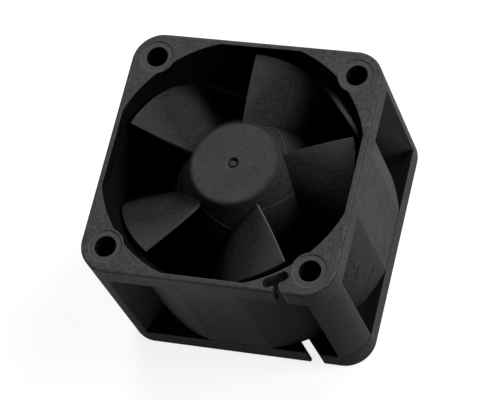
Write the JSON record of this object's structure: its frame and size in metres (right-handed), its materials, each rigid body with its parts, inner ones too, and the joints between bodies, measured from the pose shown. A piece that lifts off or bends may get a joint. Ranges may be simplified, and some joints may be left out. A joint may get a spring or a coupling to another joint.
{
  "type": "server fan module",
  "caption": "Square axial cooling fan with a deep flanged frame, round-cornered posts, a large hub and wide swept blades.",
  "frame": {"origin": "centre of the rear (outlet) face, on the rotor axis", "axes": "+Z along the rotor axis, out of the air intake; X and Y along the frame's sides, the cable notches on the -Y side towards +X"},
  "size_m": [0.04, 0.04, 0.028],
  "materials": {
    "frame_plastic": "fine matt moulded texture",
    "impeller_plastic": "fine matt moulded texture",
    "yoke_steel": "drawn, zinc plated",
    "magnet_ferrite": "matt bonded ferrite",
    "shaft_steel": "ground",
    "spring_steel": "bright wire",
    "washer_plastic": "translucent film",
    "tube_brass": "turned",
    "core_steel": "stacked laminations",
    "insulator_plastic": "satin moulded",
    "pin_brass": "tinned",
    "coil_copper": "enamelled wire",
    "board_laminate": "solder mask",
    "chip_plastic": "matt epoxy",
    "capacitor_ceramic": "ceramic",
    "seal_film": "bare satin film",
    "bearing_steel": "polished",
    "shield_steel": "pressed",
    "cage_plastic": "moulded nylon"
  },
  "bodies": {
    "housing": {"frame": "frame_plastic", "bearing_tube": "tube_brass", "front_bearing_outer_ring": "bearing_steel", "front_bearing_shields": "shield_steel", "rear_bearing_outer_ring": "bearing_steel", "rear_bearing_shields": "shield_steel", "stator_core": "core_steel", "upper_insulator": "insulator_plastic", "lower_insulator": "insulator_plastic", "winding_pins": "pin_brass", "stator_coils": "coil_copper", "circuit_board": "board_laminate", "hall_sensor": "chip_plastic", "motor_driver_chip": "chip_plastic", "chip_capacitors": "capacitor_ceramic", "chip_resistors": "chip_plastic", "rear_seal_disc": "seal_film"},
    "rotor": {"impeller": "impeller_plastic", "rotor_yoke": "yoke_steel", "rotor_magnet": "magnet_ferrite", "shaft": "shaft_steel", "front_bearing_inner_ring": "bearing_steel", "rear_bearing_inner_ring": "bearing_steel", "preload_spring": "spring_steel", "thrust_washer": "washer_plastic", "retaining_clip": "spring_steel"},
    "front_ball_set": {"front_bearing_balls": "bearing_steel", "front_bearing_cage": "cage_plastic"},
    "rear_ball_set": {"rear_bearing_balls": "bearing_steel", "rear_bearing_cage": "cage_plastic"}
  },
  "joints": [
    {"name": "rotor_spin", "type": "hinge", "parent": "housing", "child": "rotor", "pos_m": [0, 0, 0], "axis": [0, 0, 1], "continuous": true},
    {"name": "front_ball_set_spin", "type": "hinge", "parent": "housing", "child": "front_ball_set", "pos_m": [0, 0, 0], "axis": [0, 0, 1], "continuous": true},
    {"name": "rear_ball_set_spin", "type": "hinge", "parent": "housing", "child": "rear_ball_set", "pos_m": [0, 0, 0], "axis": [0, 0, 1], "continuous": true}
  ],
  "couplings": [
    {"joint": "front_ball_set_spin", "follows": "rotor_spin", "ratio": 0.3625},
    {"joint": "rear_ball_set_spin", "follows": "rotor_spin", "ratio": 0.3625}
  ]
}
